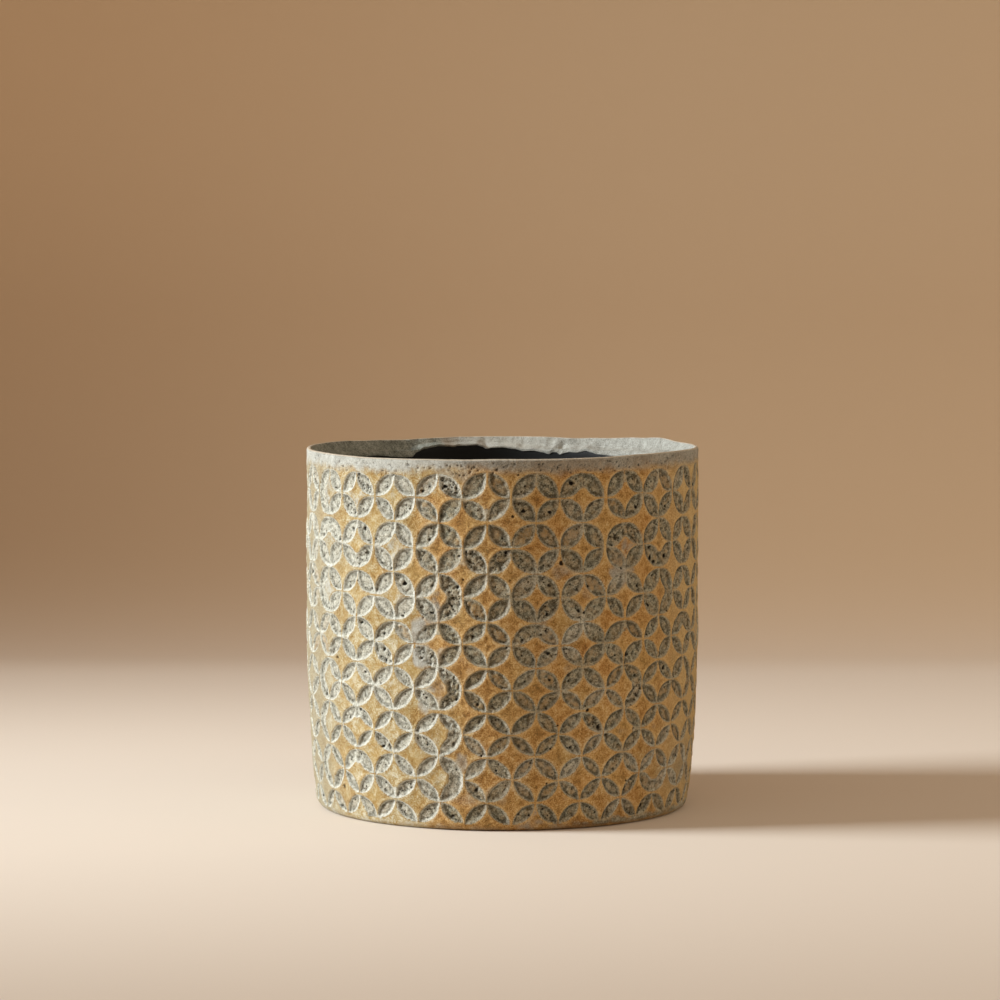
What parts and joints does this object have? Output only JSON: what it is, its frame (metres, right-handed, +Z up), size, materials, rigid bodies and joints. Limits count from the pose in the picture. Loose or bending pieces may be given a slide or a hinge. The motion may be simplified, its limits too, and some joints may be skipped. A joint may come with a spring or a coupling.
{
  "type": "floor planter",
  "caption": "Round cast cement planter with a carved relief of interlaced circles on its wall, a slightly drawn-in foot, a thin rim and a black plastic liner held under an inner lip.",
  "frame": {"origin": "centre of the flat underside that the pot stands on", "axes": "+Z up out of the pot's mouth, along the pot's own axis; -Y to the front, the side that the picture shows"},
  "size_m": [0.2998, 0.2998, 0.275],
  "materials": {
    "stained_cement": "rough cast cement with an ochre stain on the raised faces and bare grey, pitted recesses",
    "black_liner": "black, faintly grainy"
  },
  "bodies": {
    "root": {"cement_pot": "stained_cement", "liner": "black_liner"}
  },
  "joints": []
}
